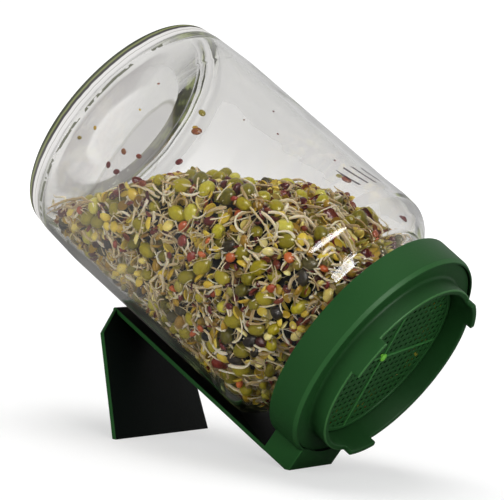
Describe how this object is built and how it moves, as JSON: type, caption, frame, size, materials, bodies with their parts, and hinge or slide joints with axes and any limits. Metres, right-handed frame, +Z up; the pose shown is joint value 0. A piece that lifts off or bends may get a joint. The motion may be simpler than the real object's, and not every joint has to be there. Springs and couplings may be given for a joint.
{
  "type": "jar of bean sprouts",
  "caption": "Clear glass sprouting jar lying mouth-down on a plastic stand, its sieve lid draining, more than half full of sprouted mixed beans.",
  "frame": {"origin": "on the ground under the middle of the whole object's bounding box", "axes": "+X runs level from the jar's base end to its mouth end, +Z is up, +Y runs across the jar to the side that the picture hides"},
  "size_m": [0.158, 0.0928, 0.1427],
  "materials": {
    "clear_glass": "gloss",
    "green_plastic": "satin",
    "sieve_plastic": "satin",
    "bean_sprouts": "satin"
  },
  "bodies": {
    "root": {"jar_glass": "clear_glass", "stand": "green_plastic", "screw_lid": "green_plastic", "sieve": "sieve_plastic", "sprout_bed": "bean_sprouts"}
  },
  "joints": []
}
